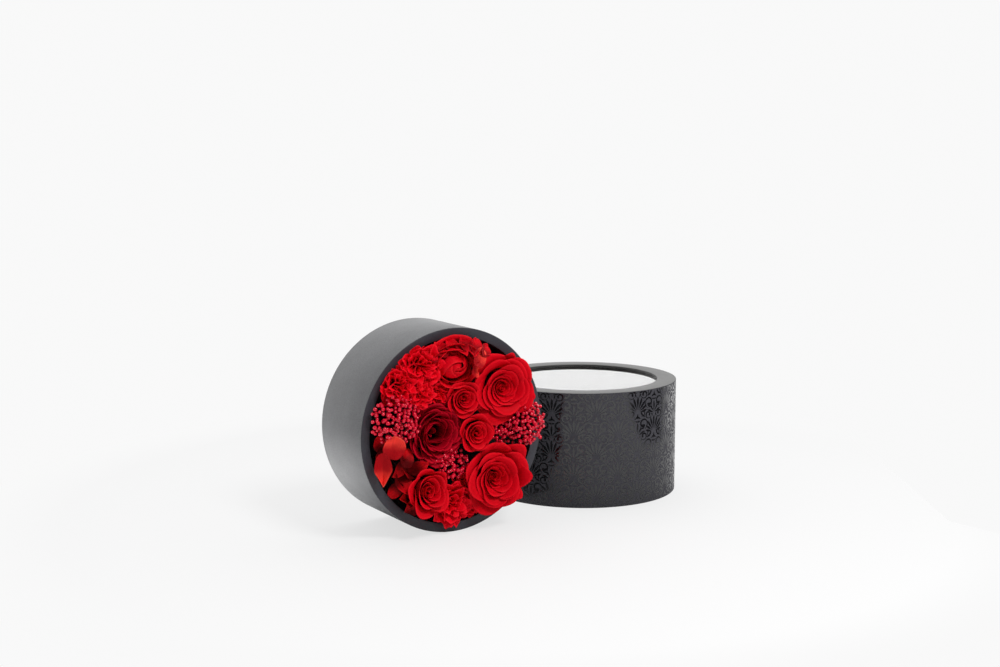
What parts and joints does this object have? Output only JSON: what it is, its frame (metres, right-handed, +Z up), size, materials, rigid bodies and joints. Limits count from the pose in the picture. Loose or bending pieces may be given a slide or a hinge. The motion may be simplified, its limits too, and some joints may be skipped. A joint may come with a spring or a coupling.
{
  "type": "flower box",
  "caption": "Round gift box, opened to show preserved red flowers set in foam in its base, with its full-depth window lid standing beside it.",
  "frame": {"origin": "on the table, at the middle of the footprint of the opened box", "axes": "+Z up from the table, -Y towards the viewer of the picture, +X to the viewer's right; the base stands on its edge with its opening turned to the front right"},
  "size_m": [0.274, 0.2664, 0.15],
  "materials": {
    "greyboard": "matte",
    "charcoal_paper": "matte",
    "rim_paper": "matte",
    "lid_damask_paper": "satin",
    "lid_top_paper": "satin",
    "black_lining": "matte",
    "clear_film": "polished",
    "clear_tape": "gloss",
    "hot_glue": "satin",
    "dark_foam": "matte",
    "floral_wire": "matte",
    "rose_petal": "matte",
    "dark_rose_petal": "matte",
    "carnation_petal": "matte",
    "berry_skin": "gloss",
    "hydrangea_sepal": "matte"
  },
  "bodies": {
    "base": {"base_wall_board": "greyboard", "base_bottom_board": "greyboard", "base_bottom_paper": "charcoal_paper", "base_wall_wrap": "charcoal_paper", "base_rim_paper": "rim_paper", "base_lining": "black_lining", "foam_glue_dabs": "hot_glue", "floral_foam": "dark_foam", "rose_upper_right": "rose_petal", "rose_lower_right": "rose_petal", "rose_lower_left": "rose_petal", "rose_top": "rose_petal", "mini_rose_upper": "rose_petal", "mini_rose_middle": "rose_petal", "garden_rose_dark": "dark_rose_petal", "carnation_upper_left": "carnation_petal", "carnation_bottom": "carnation_petal", "berries_left": "berry_skin", "berries_right": "berry_skin", "berries_right_inner": "berry_skin", "berries_bottom": "berry_skin", "hydrangea_left": "hydrangea_sepal", "hydrangea_lower_left": "hydrangea_sepal", "rose_upper_right_wire": "floral_wire", "rose_lower_right_wire": "floral_wire", "rose_lower_left_wire": "floral_wire", "rose_top_wire": "floral_wire", "mini_rose_upper_wire": "floral_wire", "mini_rose_middle_wire": "floral_wire", "garden_rose_dark_wire": "floral_wire", "carnation_upper_left_wire": "floral_wire", "carnation_bottom_wire": "floral_wire", "berries_left_wire": "floral_wire", "berries_right_wire": "floral_wire", "berries_right_inner_wire": "floral_wire", "berries_bottom_wire": "floral_wire", "hydrangea_left_wire": "floral_wire", "hydrangea_lower_left_wire": "floral_wire"},
    "lid": {"lid_wall_board": "greyboard", "lid_top_ring_board": "greyboard", "lid_top_paper": "lid_top_paper", "lid_wall_wrap": "lid_damask_paper", "lid_lining": "black_lining", "lid_window_tape": "clear_tape", "lid_window": "clear_film"}
  },
  "joints": [
    {"name": "lid_lift", "type": "slide", "parent": "base", "child": "lid", "axis": [0, 0, 1], "range_m": [0, 0.16]}
  ]
}
